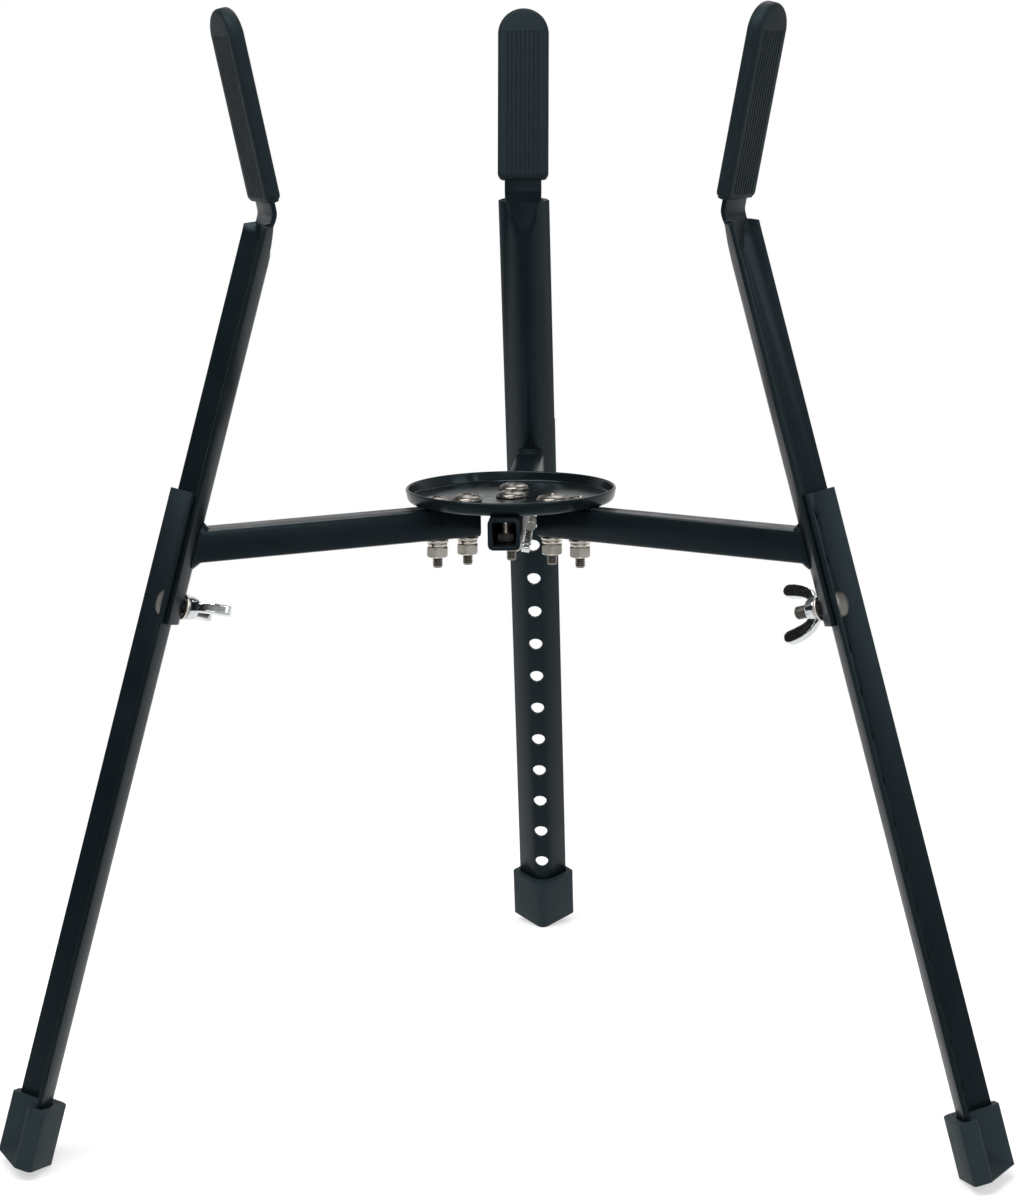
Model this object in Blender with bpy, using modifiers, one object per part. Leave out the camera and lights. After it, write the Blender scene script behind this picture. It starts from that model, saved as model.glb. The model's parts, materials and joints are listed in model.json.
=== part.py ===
import math

import bmesh
import bpy
from mathutils import Vector

# Conga stand: three arms of angle steel on struts round a dish, each with a pad and a leg.
# Metres, +Z up, the floor at zero and the origin under the middle of the stand.

MM = 0.001
ROOT2 = math.sqrt(2.0)
GAP = 0.3 * MM

# The stand as a whole
STRUT_HEIGHT = 380.0 * MM
ARM_RADIUS = 207.0 * MM
ARM_LEAN = math.radians(16.74)
ARM_AZIMUTHS = {"left": 210.0, "right": 330.0, "rear": 90.0}

# Angle steel, the same for the arms and the legs
FLANGE = 25.0 * MM
STEEL = 3.0 * MM
NOSE_RADIUS = 11.75 * MM
NOSE_PARTS = (0.66, 0.33)
SHOULDER_LIMIT = 0.92
LEG_OFFSET = (STEEL + GAP) * ROOT2

# Arm, with heights along it counted from the middle of its strut
ARM_BOTTOM = -51.0 * MM
ARM_FLATTENS_FROM = 172.0 * MM
ARM_FLAT_AT = 196.0 * MM
FLATTENING_PARTS = (0.25, 0.5, 0.7)
NOTCH_PARTS = (0.2, 0.4, 0.7, 1.0)
FLANGE_TOP = 193.6 * MM
NOTCH_FILLET = 4.0 * MM
NECK_HEIGHT = 202.5 * MM
NECK_WIDTH = 25.0 * MM
NECK_LEVEL = 11.0 * MM
NECK_BEND = math.radians(28.7)
NECK_BEND_RADIUS = 8.0 * MM
TONGUE_LENGTH = 110.0 * MM
TONGUE_CORNER = 5.5 * MM

# Pad on the tongue
PAD_BOTTOM = 6.75 * MM
PAD_LENGTH = 117.0 * MM
PAD_WIDTH = 34.5 * MM
PAD_THICKNESS = 9.5 * MM
PAD_EDGE = 3.0 * MM
PAD_CORNER = 4.5 * MM
GROOVES = 8
GROOVE_PITCH = 2.95 * MM
GROOVE_WIDTH = 1.2 * MM
GROOVE_DEPTH = 0.7 * MM
GROOVE_FROM = 4.0 * MM
GROOVE_TO = 16.0 * MM

# Leg
LEG_TOP = 28.3 * MM
LEG_BOTTOM = -388.0 * MM
HOLES = 14
HOLE_PITCH = 27.2 * MM
HOLE_RADIUS = 5.0 * MM
CLAMP_HEIGHT = -40.1 * MM
HOLES_ABOVE_CLAMP = 2

# Foot
FOOT_TOP = -355.0 * MM
FOOT_FLOOR = 5.0 * MM
FOOT_WEB_EDGE = 1.0 * MM
FOOT_WEB_HEIGHT = 17.0 * MM
FOOT_OUTER_WALL = 4.6 * MM
FOOT_INNER_WALL = 3.8 * MM
FOOT_END_WALL = 3.6 * MM
FOOT_SLACK = 0.5 * MM
FOOT_NOSE_RADIUS = 6.0 * MM
FOOT_CORNER = 3.0 * MM
POCKET_CORNER = 0.4 * MM

# Clamp bolt, washer and wing nut
BOLT_RADIUS = 4.0 * MM
BOLT_TIP = 13.0 * MM
BOLT_CHAMFER = 0.8 * MM
BOLT_HEAD_RADIUS = 8.0 * MM
BOLT_HEAD_HEIGHT = 3.4 * MM
BOLT_HEAD_RIM = 0.8 * MM
ARM_HOLE_RADIUS = 4.6 * MM
CLAMP_WASHER_RADIUS = 8.0 * MM
CLAMP_WASHER_THICKNESS = 1.5 * MM
NUT_BORE = BOLT_RADIUS + 0.4 * MM
HUB_RADIUS = 8.0 * MM
HUB_TOP_RADIUS = 6.6 * MM
HUB_HEIGHT = 7.0 * MM
HUB_FLARE_HEIGHT = 1.5 * MM
HUB_WAIST_RADIUS = 7.7 * MM
WING_SPAN = 37.5 * MM
WING_HEIGHT = 24.0 * MM
WING_THICKNESS = 6.0 * MM
WING_ROOT = Vector((6.1 * MM, 3.3 * MM))
WING_BEND = Vector((12.6 * MM, 6.0 * MM))
WING_ROOT_HALF = 2.8 * MM
WING_TIP_HALF = 4.0 * MM
WING_SWELL = 1.4
WING_STEPS = 7
WING_ANGLES = {"left": -16.0, "right": 116.0, "rear": 78.0}

# Struts
TUBE = 20.0 * MM
TUBE_WALL = 2.5 * MM
TUBE_CORNER = 3.0 * MM
SIDE_STRUT_START = 26.0 * MM
REAR_STRUT_START = -70.0 * MM
TUBE_BORE_CORNER = 1.5 * MM
TUBE_PARTS = (0.25, 0.5)
TUBE_BORE_PARTS = (0.33, 0.67)
WELD_LEG = 3.4 * MM
WELD_START = 4.25 * MM
SEAM_GAP = 0.55 * MM

# Dish
DISH_RADIUS = 67.0 * MM
DISH_FLOOR_RADIUS = 62.4 * MM
DISH_BEND = 1.8 * MM
DISH_PLATE = 2.0 * MM
DISH_LIP = 0.6 * MM
DISH_SINK_RADIUS = 12.0 * MM
DISH_SINK_DEPTH = 0.1 * MM
DISH_HEIGHT = 8.7 * MM
DISH_UNDERSIDE = TUBE / 2 + GAP

# Dish fasteners
SCREW_PLACES = {
    "left": (31.0 * MM, 52.0 * MM),
    "right": (31.0 * MM, 52.0 * MM),
    "rear": (0.0, 31.0 * MM),
}
SCREW_RADIUS = 3.175 * MM
SCREW_HOLE = 3.65 * MM
SCREW_HEAD_RADIUS = 9.75 * MM
SCREW_HEAD_HEIGHT = 4.2 * MM
SCREW_HEAD_RIM = 0.8 * MM
SCREW_CHAMFER = 0.7 * MM
SCREW_TIP = -28.5 * MM
RECESS_SPAN = 8.5 * MM
RECESS_WIDTH = 1.9 * MM
RECESS_DEPTH = 2.2 * MM
RECESS_TURN = math.radians(20.0)
FLAT_WASHER_RADIUS = 7.0 * MM
FLAT_WASHER_THICKNESS = 1.8 * MM
SPRING_WASHER_RADIUS = 6.2 * MM
SPRING_WASHER_THICKNESS = 2.4 * MM
SPRING_WASHER_SLIT = 1.1 * MM
SLIT_TILT = math.radians(25.0)
SLIT_TURN = math.radians(35.0)
NUT_ACROSS_FLATS = 12.5 * MM
NUT_HEIGHT = 6.6 * MM

# Small screw through the front of the dish, its nut on the floor of the rear strut
FRONT_SCREW_PLACE = -50.0 * MM
FRONT_SCREW_RADIUS = 2.5 * MM
FRONT_SCREW_HOLE = 2.95 * MM
FRONT_HEAD_RADIUS = 5.2 * MM
FRONT_HEAD_HEIGHT = 3.0 * MM
FRONT_HEAD_RIM = 0.6 * MM
FRONT_RECESS_SPAN = 4.8 * MM
FRONT_RECESS_WIDTH = 1.2 * MM
FRONT_RECESS_DEPTH = 1.5 * MM
FRONT_NUT_ACROSS_FLATS = 10.0 * MM
FRONT_NUT_HEIGHT = 5.0 * MM

# Looks: colour, roughness, metallic
BLACK_PAINT = ((0.016, 0.021, 0.025), 0.42, 0.0)
GLOSS_PAINT = ((0.008, 0.010, 0.011), 0.18, 0.0)
MOULDED_BLACK = ((0.026, 0.033, 0.037), 0.7, 0.0)
NICKEL = ((0.62, 0.59, 0.54), 0.28, 1.0)
BRIGHT_CHROME = ((0.78, 0.80, 0.82), 0.12, 1.0)

# How finely curves are drawn, and how far a cutter reaches past what it cuts
ROUND_STEPS = 16
SMALL_STEPS = 14
HOLE_STEPS = 12
NOSE_STEPS = 3
DISH_STEPS = 40
HEAD_PARTS = (0.0, 0.5, 0.85, 1.0)
DRILL_REACH = 20.0 * MM


def clear_scene():
    for thing in list(bpy.data.objects):
        bpy.data.objects.remove(thing, do_unlink=True)


def make_collection(name):
    collection = bpy.data.collections.new(name)
    bpy.context.scene.collection.children.link(collection)
    return collection


clear_scene()
PARTS = make_collection("conga_stand")
CUTTERS = make_collection("cutters")


def make_material(name, look):
    color, roughness, metallic = look
    material = bpy.data.materials.new(name)
    material.use_nodes = True
    shader = material.node_tree.nodes["Principled BSDF"]
    shader.inputs["Base Color"].default_value = (*color, 1.0)
    shader.inputs["Roughness"].default_value = roughness
    shader.inputs["Metallic"].default_value = metallic
    material.diffuse_color = (*color, 1.0)
    return material


def place(thing, collection, parent, location, rotation):
    collection.objects.link(thing)
    thing.parent = parent
    thing.location = location
    thing.rotation_euler = rotation
    return thing


def make_empty(name, parent, location=(0, 0, 0), rotation=(0, 0, 0)):
    return place(bpy.data.objects.new(name, None), PARTS, parent, location, rotation)


def add_piece(name, mesh, look, parent, location=(0, 0, 0), rotation=(0, 0, 0)):
    mesh.materials.clear()
    mesh.materials.append(make_material(name + "_finish", look))
    mesh.name = name
    return place(bpy.data.objects.new(name, mesh), PARTS, parent, location, rotation)


def add_cutter(name, mesh, parent, location=(0, 0, 0), rotation=(0, 0, 0)):
    cutter = place(bpy.data.objects.new(name, mesh), CUTTERS, parent, location, rotation)
    cutter.hide_render = True
    cutter.display_type = "WIRE"
    return cutter


def combine(piece, other, operation):
    boolean = piece.modifiers.new(operation.lower() + "_" + other.name, "BOOLEAN")
    boolean.operation = operation
    boolean.solver = "EXACT"
    boolean.object = other


def cut(piece, cutter):
    combine(piece, cutter, "DIFFERENCE")


def join(piece, other):
    combine(piece, other, "UNION")


# Meshes

def finish_mesh(name, bm, smooth_angle=35.0):
    mesh = bpy.data.meshes.new(name)
    bm.to_mesh(mesh)
    bm.free()
    mesh.shade_smooth()
    mesh.set_sharp_from_angle(angle=math.radians(smooth_angle))
    return mesh


def cylinder_mesh(name, radius, low, high, steps=ROUND_STEPS, turn=0.0):
    bm = bmesh.new()
    made = bmesh.ops.create_cone(bm, cap_ends=True, segments=steps, radius1=radius, radius2=radius,
                                 depth=high - low)
    for vert in made["verts"]:
        vert.co.z += (low + high) / 2
        x, y = vert.co.x, vert.co.y
        vert.co.x = x * math.cos(turn) - y * math.sin(turn)
        vert.co.y = x * math.sin(turn) + y * math.cos(turn)
    return finish_mesh(name, bm)


def box_mesh(name, low, high):
    bm = bmesh.new()
    made = bmesh.ops.create_cube(bm, size=1.0)
    for vert in made["verts"]:
        for axis in range(3):
            vert.co[axis] = low[axis] if vert.co[axis] < 0 else high[axis]
    return finish_mesh(name, bm)


def drill_mesh(name, radius, low=-DRILL_REACH):
    # A round cutter with a flat facet on each side of its local axes.
    return cylinder_mesh(name, radius, low, DRILL_REACH, HOLE_STEPS, math.pi / HOLE_STEPS)


def profile_mesh(name, points, closed):
    # A profile in the XZ plane, its outer side running down.
    bm = bmesh.new()
    verts = [bm.verts.new((radius, 0.0, height)) for radius, height in points]
    for first, second in zip(verts, verts[1:]):
        bm.edges.new((first, second))
    if closed:
        bm.edges.new((verts[-1], verts[0]))
    mesh = bpy.data.meshes.new(name)
    bm.to_mesh(mesh)
    bm.free()
    return mesh


def turn_profile(thing, steps):
    screw = thing.modifiers.new("turn", "SCREW")
    screw.axis = "Z"
    screw.angle = math.tau
    screw.steps = steps
    screw.render_steps = steps
    screw.use_merge_vertices = True
    screw.merge_threshold = 0.00001
    return thing


def turned_piece(name, points, closed, look, parent, location=(0, 0, 0), steps=ROUND_STEPS):
    thing = add_piece(name, profile_mesh(name, points, closed), look, parent, location)
    return turn_profile(thing, steps)


def ring_profile(inner, outer, low, high):
    return [(inner, high), (outer, high), (outer, low), (inner, low)]


def head_profile(radius, height, rim):
    # A low dome from its middle to the foot of its rim, heights above its seat.
    dome = [(radius * part, rim + (height - rim) * math.sqrt(1 - part ** 2)) for part in HEAD_PARTS]
    return dome + [(radius, 0.0)]


def shank_profile(radius, seat, tip, chamfer):
    # A round shank from its head's seat to its chamfered tip, up or down.
    toward = math.copysign(chamfer, tip - seat)
    return [(radius, seat), (radius, tip - toward), (radius - chamfer, tip), (0.0, tip)]


def outline_mesh(name, points, thickness):
    # A flat outline in the XY plane, thickened evenly on both sides.
    curve = bpy.data.curves.new(name, "CURVE")
    curve.dimensions = "2D"
    curve.fill_mode = "BOTH"
    curve.extrude = thickness / 2
    spline = curve.splines.new("POLY")
    spline.points.add(len(points) - 1)
    for point, (x, y) in zip(spline.points, points):
        point.co = (x, y, 0.0, 1.0)
    spline.use_cyclic_u = True
    flat = bpy.data.objects.new(name, curve)
    CUTTERS.objects.link(flat)
    graph = bpy.context.evaluated_depsgraph_get()
    mesh = bpy.data.meshes.new_from_object(flat.evaluated_get(graph))
    bpy.data.objects.remove(flat, do_unlink=True)
    bpy.data.curves.remove(curve)
    bm = bmesh.new()
    bm.from_mesh(mesh)
    bmesh.ops.remove_doubles(bm, verts=bm.verts, dist=0.000001)
    bmesh.ops.recalc_face_normals(bm, faces=bm.faces)
    bmesh.ops.dissolve_limit(bm, angle_limit=0.001, verts=bm.verts, edges=bm.edges)
    bpy.data.meshes.remove(mesh)
    return finish_mesh(name, bm)


def rows_mesh(name, rows, closed_columns=False, closed_rows=False):
    # Quads between rows of points, all rows with the same count.
    bm = bmesh.new()
    grid = [[bm.verts.new(point) for point in row] for row in rows]
    row_pairs = list(zip(grid, grid[1:]))
    if closed_rows:
        row_pairs.append((grid[-1], grid[0]))
    for lower, upper in row_pairs:
        for column in range(len(lower) - 1):
            bm.faces.new((lower[column], lower[column + 1], upper[column + 1], upper[column]))
        if closed_columns:
            bm.faces.new((lower[-1], lower[0], upper[0], upper[-1]))
    return finish_mesh(name, bm)


def arc(center, radius, start, end, steps):
    # Points along an arc in a plane, angles in degrees.
    points = []
    for step in range(steps + 1):
        angle = math.radians(start + (end - start) * step / steps)
        points.append((center[0] + radius * math.cos(angle), center[1] + radius * math.sin(angle)))
    return points


# Angle steel: X across, Y out of the hollow, the sharp corner of the nose's two faces at zero

FLANGE_EDGE = FLANGE / ROOT2
NOSE_TANGENT = NOSE_RADIUS / ROOT2


def nose_depth(across):
    across = abs(across)
    if across >= NOSE_TANGENT:
        return across
    return NOSE_RADIUS * ROOT2 - math.sqrt(NOSE_RADIUS ** 2 - across ** 2)


def angle_row(height, edge=FLANGE_EDGE, level=0.0, flatness=0.0, offset=0.0):
    # One row of points on the nose side, flattened at a level where it is above the nose.
    shoulder = min(max(NOSE_TANGENT, level), SHOULDER_LIMIT * edge)
    half = [edge, (edge + shoulder) / 2, shoulder] + [shoulder * part for part in NOSE_PARTS]
    across = [-x for x in half] + [0.0] + half[::-1]
    row = []
    for x in across:
        depth = max(nose_depth(x), level)
        depth += (level - depth) * flatness
        row.append(Vector((x, depth + offset, height)))
    return row


def notch_edge(height):
    below = FLANGE_TOP + NOTCH_FILLET - height
    edge = NECK_WIDTH / 2
    if below > 0:
        edge += NOTCH_FILLET - math.sqrt(max(NOTCH_FILLET ** 2 - below ** 2, 0.0))
    return edge


def arm_rows():
    rows = [angle_row(ARM_BOTTOM), angle_row(ARM_FLATTENS_FROM)]
    lowest = nose_depth(0.0)
    climb = (NECK_LEVEL - lowest) / (ARM_FLAT_AT - ARM_FLATTENS_FROM)
    rises = [part * (ARM_FLAT_AT - ARM_FLATTENS_FROM) for part in FLATTENING_PARTS]
    for rise in rises + [FLANGE_TOP - ARM_FLATTENS_FROM]:
        rows.append(angle_row(ARM_FLATTENS_FROM + rise, level=lowest + climb * rise))
    for step, part in enumerate(NOTCH_PARTS, 1):
        height = FLANGE_TOP + part * NOTCH_FILLET
        level = min(NECK_LEVEL, lowest + climb * (height - ARM_FLATTENS_FROM))
        rows.append(angle_row(height, notch_edge(height), level, step / len(NOTCH_PARTS)))
    return rows + tongue_rows()


def tongue_rows():
    # The flat neck, its bend outward and the straight tongue.
    outer_radius = NECK_BEND_RADIUS + STEEL / 2
    bend_from = NECK_HEIGHT - NECK_BEND_RADIUS * math.tan(NECK_BEND / 2)
    rows = []
    bend_steps = 4
    for step in range(bend_steps + 1):
        angle = NECK_BEND * step / bend_steps
        depth = NECK_LEVEL + outer_radius * (1 - math.cos(angle))
        height = bend_from + outer_radius * math.sin(angle)
        rows.append(flat_row(NECK_WIDTH / 2, depth, height))
    along = Vector((0, math.sin(NECK_BEND), math.cos(NECK_BEND)))
    across = Vector((0, math.cos(NECK_BEND), -math.sin(NECK_BEND)))
    neck = Vector((0, NECK_LEVEL + STEEL / 2, NECK_HEIGHT))
    for corner in (TONGUE_CORNER, 0.0):
        point = neck + along * (TONGUE_LENGTH - corner) - across * (STEEL / 2)
        rows.append(flat_row(NECK_WIDTH / 2 - TONGUE_CORNER + corner, point.y, point.z))
    return rows


def flat_row(edge, depth, height):
    return [Vector((point.x, depth, height)) for point in angle_row(0.0, edge, NECK_LEVEL)]


def thicken(piece):
    solidify = piece.modifiers.new("steel", "SOLIDIFY")
    solidify.thickness = STEEL
    solidify.offset = -1.0
    solidify.use_even_offset = True
    return piece


def make_arm(side, line):
    name = "arm_" + side
    hole_name = "arm_hole_" + side
    arm = thicken(add_piece(name, rows_mesh(name, arm_rows()), BLACK_PAINT, line))
    hole = drill_mesh(hole_name, ARM_HOLE_RADIUS)
    cut(arm, add_cutter(hole_name, hole, line, (0, 0, CLAMP_HEIGHT), (math.pi / 2, 0, 0)))
    return arm


def leg_hole_mesh(name):
    # All the holes of a leg as one row of drills along the bolt's direction.
    bm = bmesh.new()
    for index in range(HOLES):
        made = bmesh.ops.create_cone(bm, cap_ends=True, segments=HOLE_STEPS, radius1=HOLE_RADIUS,
                                     radius2=HOLE_RADIUS, depth=2 * DRILL_REACH)
        rise = (HOLES_ABOVE_CLAMP - index) * HOLE_PITCH
        for vert in made["verts"]:
            vert.co.y += rise
    return finish_mesh(name, bm)


def make_leg(side, line):
    name = "leg_" + side
    holes_name = "leg_holes_" + side
    rows = [angle_row(height, offset=LEG_OFFSET) for height in (LEG_BOTTOM, LEG_TOP)]
    leg = thicken(add_piece(name, rows_mesh(name, rows), BLACK_PAINT, line))
    holes = leg_hole_mesh(holes_name)
    cut(leg, add_cutter(holes_name, holes, line, (0, 0, CLAMP_HEIGHT), (math.pi / 2, 0, 0)))
    return leg


# Pad

def pad_outline():
    half = PAD_WIDTH / 2
    top = PAD_BOTTOM + PAD_LENGTH - half
    low = PAD_BOTTOM + PAD_CORNER
    points = arc((half - PAD_CORNER, low), PAD_CORNER, -90, 0, 2)
    points += arc((0.0, top), half, 0, 180, 14)
    points += arc((-half + PAD_CORNER, low), PAD_CORNER, 180, 270, 2)
    return points


def groove_mesh(name):
    # The same row of grooves in both of the pad's faces.
    bm = bmesh.new()
    low = PAD_BOTTOM + GROOVE_FROM
    high = PAD_BOTTOM + PAD_LENGTH - GROOVE_TO
    for index in range(GROOVES):
        across = (index - (GROOVES - 1) / 2) * GROOVE_PITCH
        for face in (-PAD_THICKNESS / 2, PAD_THICKNESS / 2):
            made = bmesh.ops.create_cube(bm, size=1.0)
            for vert in made["verts"]:
                vert.co.x = across + vert.co.x * GROOVE_WIDTH
                vert.co.y = face + vert.co.y * 2 * GROOVE_DEPTH
                vert.co.z = low if vert.co.z < 0 else high
    return finish_mesh(name, bm)


def make_pad(side, tongue):
    name = "pad_" + side
    block = outline_mesh(name, pad_outline(), PAD_THICKNESS)
    pad = add_piece(name, block, MOULDED_BLACK, tongue, rotation=(math.pi / 2, 0, 0))
    rounded = pad.modifiers.new("edge", "BEVEL")
    rounded.width = PAD_EDGE
    rounded.segments = 2
    rounded.limit_method = "ANGLE"
    rounded.angle_limit = math.radians(60)
    slot = box_mesh("pad_slot_" + side, (-NECK_WIDTH / 2 - GAP, -STEEL / 2 - GAP, 0.0),
                    (NECK_WIDTH / 2 + GAP, STEEL / 2 + GAP, TONGUE_LENGTH + GAP))
    cut(pad, add_cutter("pad_slot_" + side, slot, tongue))
    cut(pad, add_cutter("pad_grooves_" + side, groove_mesh("pad_grooves_" + side), tongue))
    return pad


# Foot: an angle-shaped boot with a closed sole

def angle_outline(outer, inner, end, nose_radius, corner, steps, hollow=True):
    # Closed outline of an angle whose walls stand off the leg's section by these amounts.
    # In a flange's own frame, a runs along it from the leg's sharp corner and b towards the hollow.
    # Without its hollow, the outline goes straight from one flange's end to the other's.
    def in_section(a, b):
        return ((a - b) / ROOT2, (a + b) / ROOT2 + LEG_OFFSET)

    low = -outer
    high = STEEL + inner
    reach = FLANGE + end
    right = [in_section(low + nose_radius, low)]
    for point in arc((reach - corner, low + corner), corner, -90, 0, steps):
        right.append(in_section(*point))
    for point in arc((reach - corner, high - corner), corner, 0, 90, steps):
        right.append(in_section(*point))
    nose_center = (0.0, (low + nose_radius) * ROOT2 + LEG_OFFSET)
    right = arc(nose_center, nose_radius, -90, -45, NOSE_STEPS)[:-1] + right
    if not hollow:
        right.pop()
        return right + [(-x, y) for x, y in right[:0:-1]]
    hollow_center = (0.0, NOSE_RADIUS * ROOT2 + LEG_OFFSET)
    right += arc(hollow_center, NOSE_RADIUS - high, -45, -90, NOSE_STEPS)
    return right + [(-x, y) for x, y in right[-2:0:-1]]


def upright_outline_mesh(name, points, low, high):
    mesh = outline_mesh(name, points, high - low)
    for vert in mesh.vertices:
        vert.co.z += (low + high) / 2
    return mesh


def foot_shape(hollow):
    walls = [wall + FOOT_SLACK for wall in (FOOT_OUTER_WALL, FOOT_INNER_WALL, FOOT_END_WALL)]
    return angle_outline(*walls, FOOT_NOSE_RADIUS, FOOT_CORNER, 3, hollow)


def make_foot_web(side, line, sole):
    # The sole's full plate, and a web that slopes from it up into the foot's inner corner.
    name = "foot_web_" + side
    outline = foot_shape(False)
    edge = max(y for x, y in outline)
    corner = (STEEL + FOOT_INNER_WALL + FOOT_SLACK) * ROOT2 + LEG_OFFSET
    slope = math.atan2(FOOT_WEB_HEIGHT - FOOT_WEB_EDGE, edge - corner)
    web = add_cutter(name, upright_outline_mesh(name, outline, sole, sole + FOOT_WEB_HEIGHT), line)
    above = box_mesh(name + "_top", (-3 * FLANGE, -3 * FLANGE, 0.0), (3 * FLANGE, 3 * FLANGE, 3 * FLANGE))
    cut(web, add_cutter(name + "_top", above, line, (0, edge, sole + FOOT_WEB_EDGE), (-slope, 0, 0)))
    return web


def make_foot(side, line):
    name = "foot_" + side
    pocket_name = "foot_pocket_" + side
    sole = LEG_BOTTOM - GAP - FOOT_FLOOR
    foot = add_piece(name, upright_outline_mesh(name, foot_shape(True), sole, FOOT_TOP), MOULDED_BLACK, line)
    join(foot, make_foot_web(side, line, sole))
    inside = angle_outline(FOOT_SLACK, FOOT_SLACK, FOOT_SLACK, NOSE_RADIUS + FOOT_SLACK, POCKET_CORNER, 1)
    pocket = upright_outline_mesh(pocket_name, inside, LEG_BOTTOM - GAP, FOOT_TOP + DRILL_REACH)
    cut(foot, add_cutter(pocket_name, pocket, line))
    return foot


# Clamp: Z of its empty points at the stand's middle, zero at the sharp corner of the arm's nose

def make_clamp(side, line):
    clamp = make_empty("clamp_axis_" + side, line, (0, 0, CLAMP_HEIGHT), (math.pi / 2, 0, 0))
    seat = -(BOLT_HEAD_RADIUS + LEG_OFFSET + (STEEL + GAP) * ROOT2)
    dome = head_profile(BOLT_HEAD_RADIUS, BOLT_HEAD_HEIGHT, BOLT_HEAD_RIM)
    bolt = [(radius, seat - height) for radius, height in dome]
    bolt += shank_profile(BOLT_RADIUS, seat, BOLT_TIP, BOLT_CHAMFER)
    turned_piece("clamp_bolt_" + side, bolt[::-1], False, NICKEL, clamp)

    washer_top = -nose_depth(0.0) + GAP
    washer = ring_profile(NUT_BORE, CLAMP_WASHER_RADIUS, washer_top, washer_top + CLAMP_WASHER_THICKNESS)
    turned_piece("clamp_washer_" + side, washer, True, NICKEL, clamp)

    base = washer_top + CLAMP_WASHER_THICKNESS + GAP
    make_wing_nut(side, clamp, base)


def wing_outline():
    # One wing, from inside the hub's wall to its round tip: X out, Y up from the hub's base.
    tip = Vector((WING_SPAN / 2 - WING_TIP_HALF, WING_HEIGHT - WING_TIP_HALF))
    inner_side = []
    outer_side = []
    for step in range(WING_STEPS + 1):
        t = step / WING_STEPS
        middle = WING_ROOT * (1 - t) ** 2 + WING_BEND * 2 * t * (1 - t) + tip * t ** 2
        heading = ((WING_BEND - WING_ROOT) * (1 - t) + (tip - WING_BEND) * t).normalized()
        side = Vector((heading.y, -heading.x))
        half = min(WING_ROOT_HALF + (WING_TIP_HALF - WING_ROOT_HALF) * WING_SWELL * t, WING_TIP_HALF)
        outer_side.append(middle + side * half)
        inner_side.append(middle - side * half)
    lean = math.degrees(math.atan2(tip.y - WING_BEND.y, tip.x - WING_BEND.x))
    cap = [Vector(point) for point in arc(tip, WING_TIP_HALF, lean - 90, lean + 90, 6)]
    return [tuple(point) for point in outer_side[:-1] + cap + inner_side[-2::-1]]


def make_wing_nut(side, clamp, base):
    name = "wing_nut_" + side
    hub = [(NUT_BORE, HUB_HEIGHT), (HUB_TOP_RADIUS, HUB_HEIGHT), (HUB_WAIST_RADIUS, HUB_FLARE_HEIGHT),
           (HUB_RADIUS, 0.0), (NUT_BORE, 0.0)]
    nut = turned_piece(name, hub, True, BRIGHT_CHROME, clamp, (0, 0, base))
    nut.rotation_euler = (0, 0, math.radians(WING_ANGLES[side]))
    for label, facing in (("a", 0.0), ("b", math.pi)):
        wing_name = "wing_" + label + "_" + side
        wing = add_cutter(wing_name, outline_mesh(wing_name, wing_outline(), WING_THICKNESS), nut,
                          rotation=(math.pi / 2, 0, facing))
        join(nut, wing)
    return nut


# Struts: Y along the tube from the stand's middle

def seam(across, height):
    # Where the arm's nose side crosses the strut's length.
    depth = nose_depth(across) - SEAM_GAP
    return ARM_RADIUS + depth / math.cos(ARM_LEAN) - height * math.tan(ARM_LEAN)


def tube_section(half, corner, parts):
    # A square section with round corners, and points along its top and bottom at parts of its half width.
    points = []
    for start, sign_x, sign_z in ((0, 1, 1), (90, -1, 1), (180, -1, -1), (270, 1, -1)):
        center = (sign_x * (half - corner), sign_z * (half - corner))
        points += arc(center, corner, start, start + 90, 2)
        if start in (0, 180):
            for part in (parts[1], parts[0], 0.0, -parts[0], -parts[1]):
                points.append((sign_x * half * part, sign_z * half))
    return points


def make_strut(side, spoke, start):
    # The last rows widen over and under the tube as its weld beads on the arm.
    name = "strut_" + side
    half = TUBE / 2
    bore = half - TUBE_WALL
    outside = tube_section(half, TUBE_CORNER, TUBE_PARTS)
    inside = tube_section(bore, TUBE_BORE_CORNER, TUBE_BORE_PARTS)
    spread = (half + WELD_LEG) / half
    rows = [
        [Vector((x, start, z)) for x, z in outside],
        [Vector((x, seam(x, z) - WELD_START, z)) for x, z in outside],
        [Vector((x, seam(x, z * spread), z * spread)) for x, z in outside],
        [Vector((x, seam(x, z), z)) for x, z in inside],
        [Vector((x, start, z)) for x, z in inside],
    ]
    rows = [row[::-1] for row in rows]
    strut = add_piece(name, rows_mesh(name, rows, closed_columns=True, closed_rows=True), BLACK_PAINT, spoke)
    for index, reach in enumerate(SCREW_PLACES[side]):
        hole_name = "strut_hole_" + side + "_" + str(index)
        cut(strut, add_cutter(hole_name, drill_mesh(hole_name, SCREW_HOLE), spoke, (0, reach, 0)))
    return strut


# Dish and its fasteners

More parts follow.
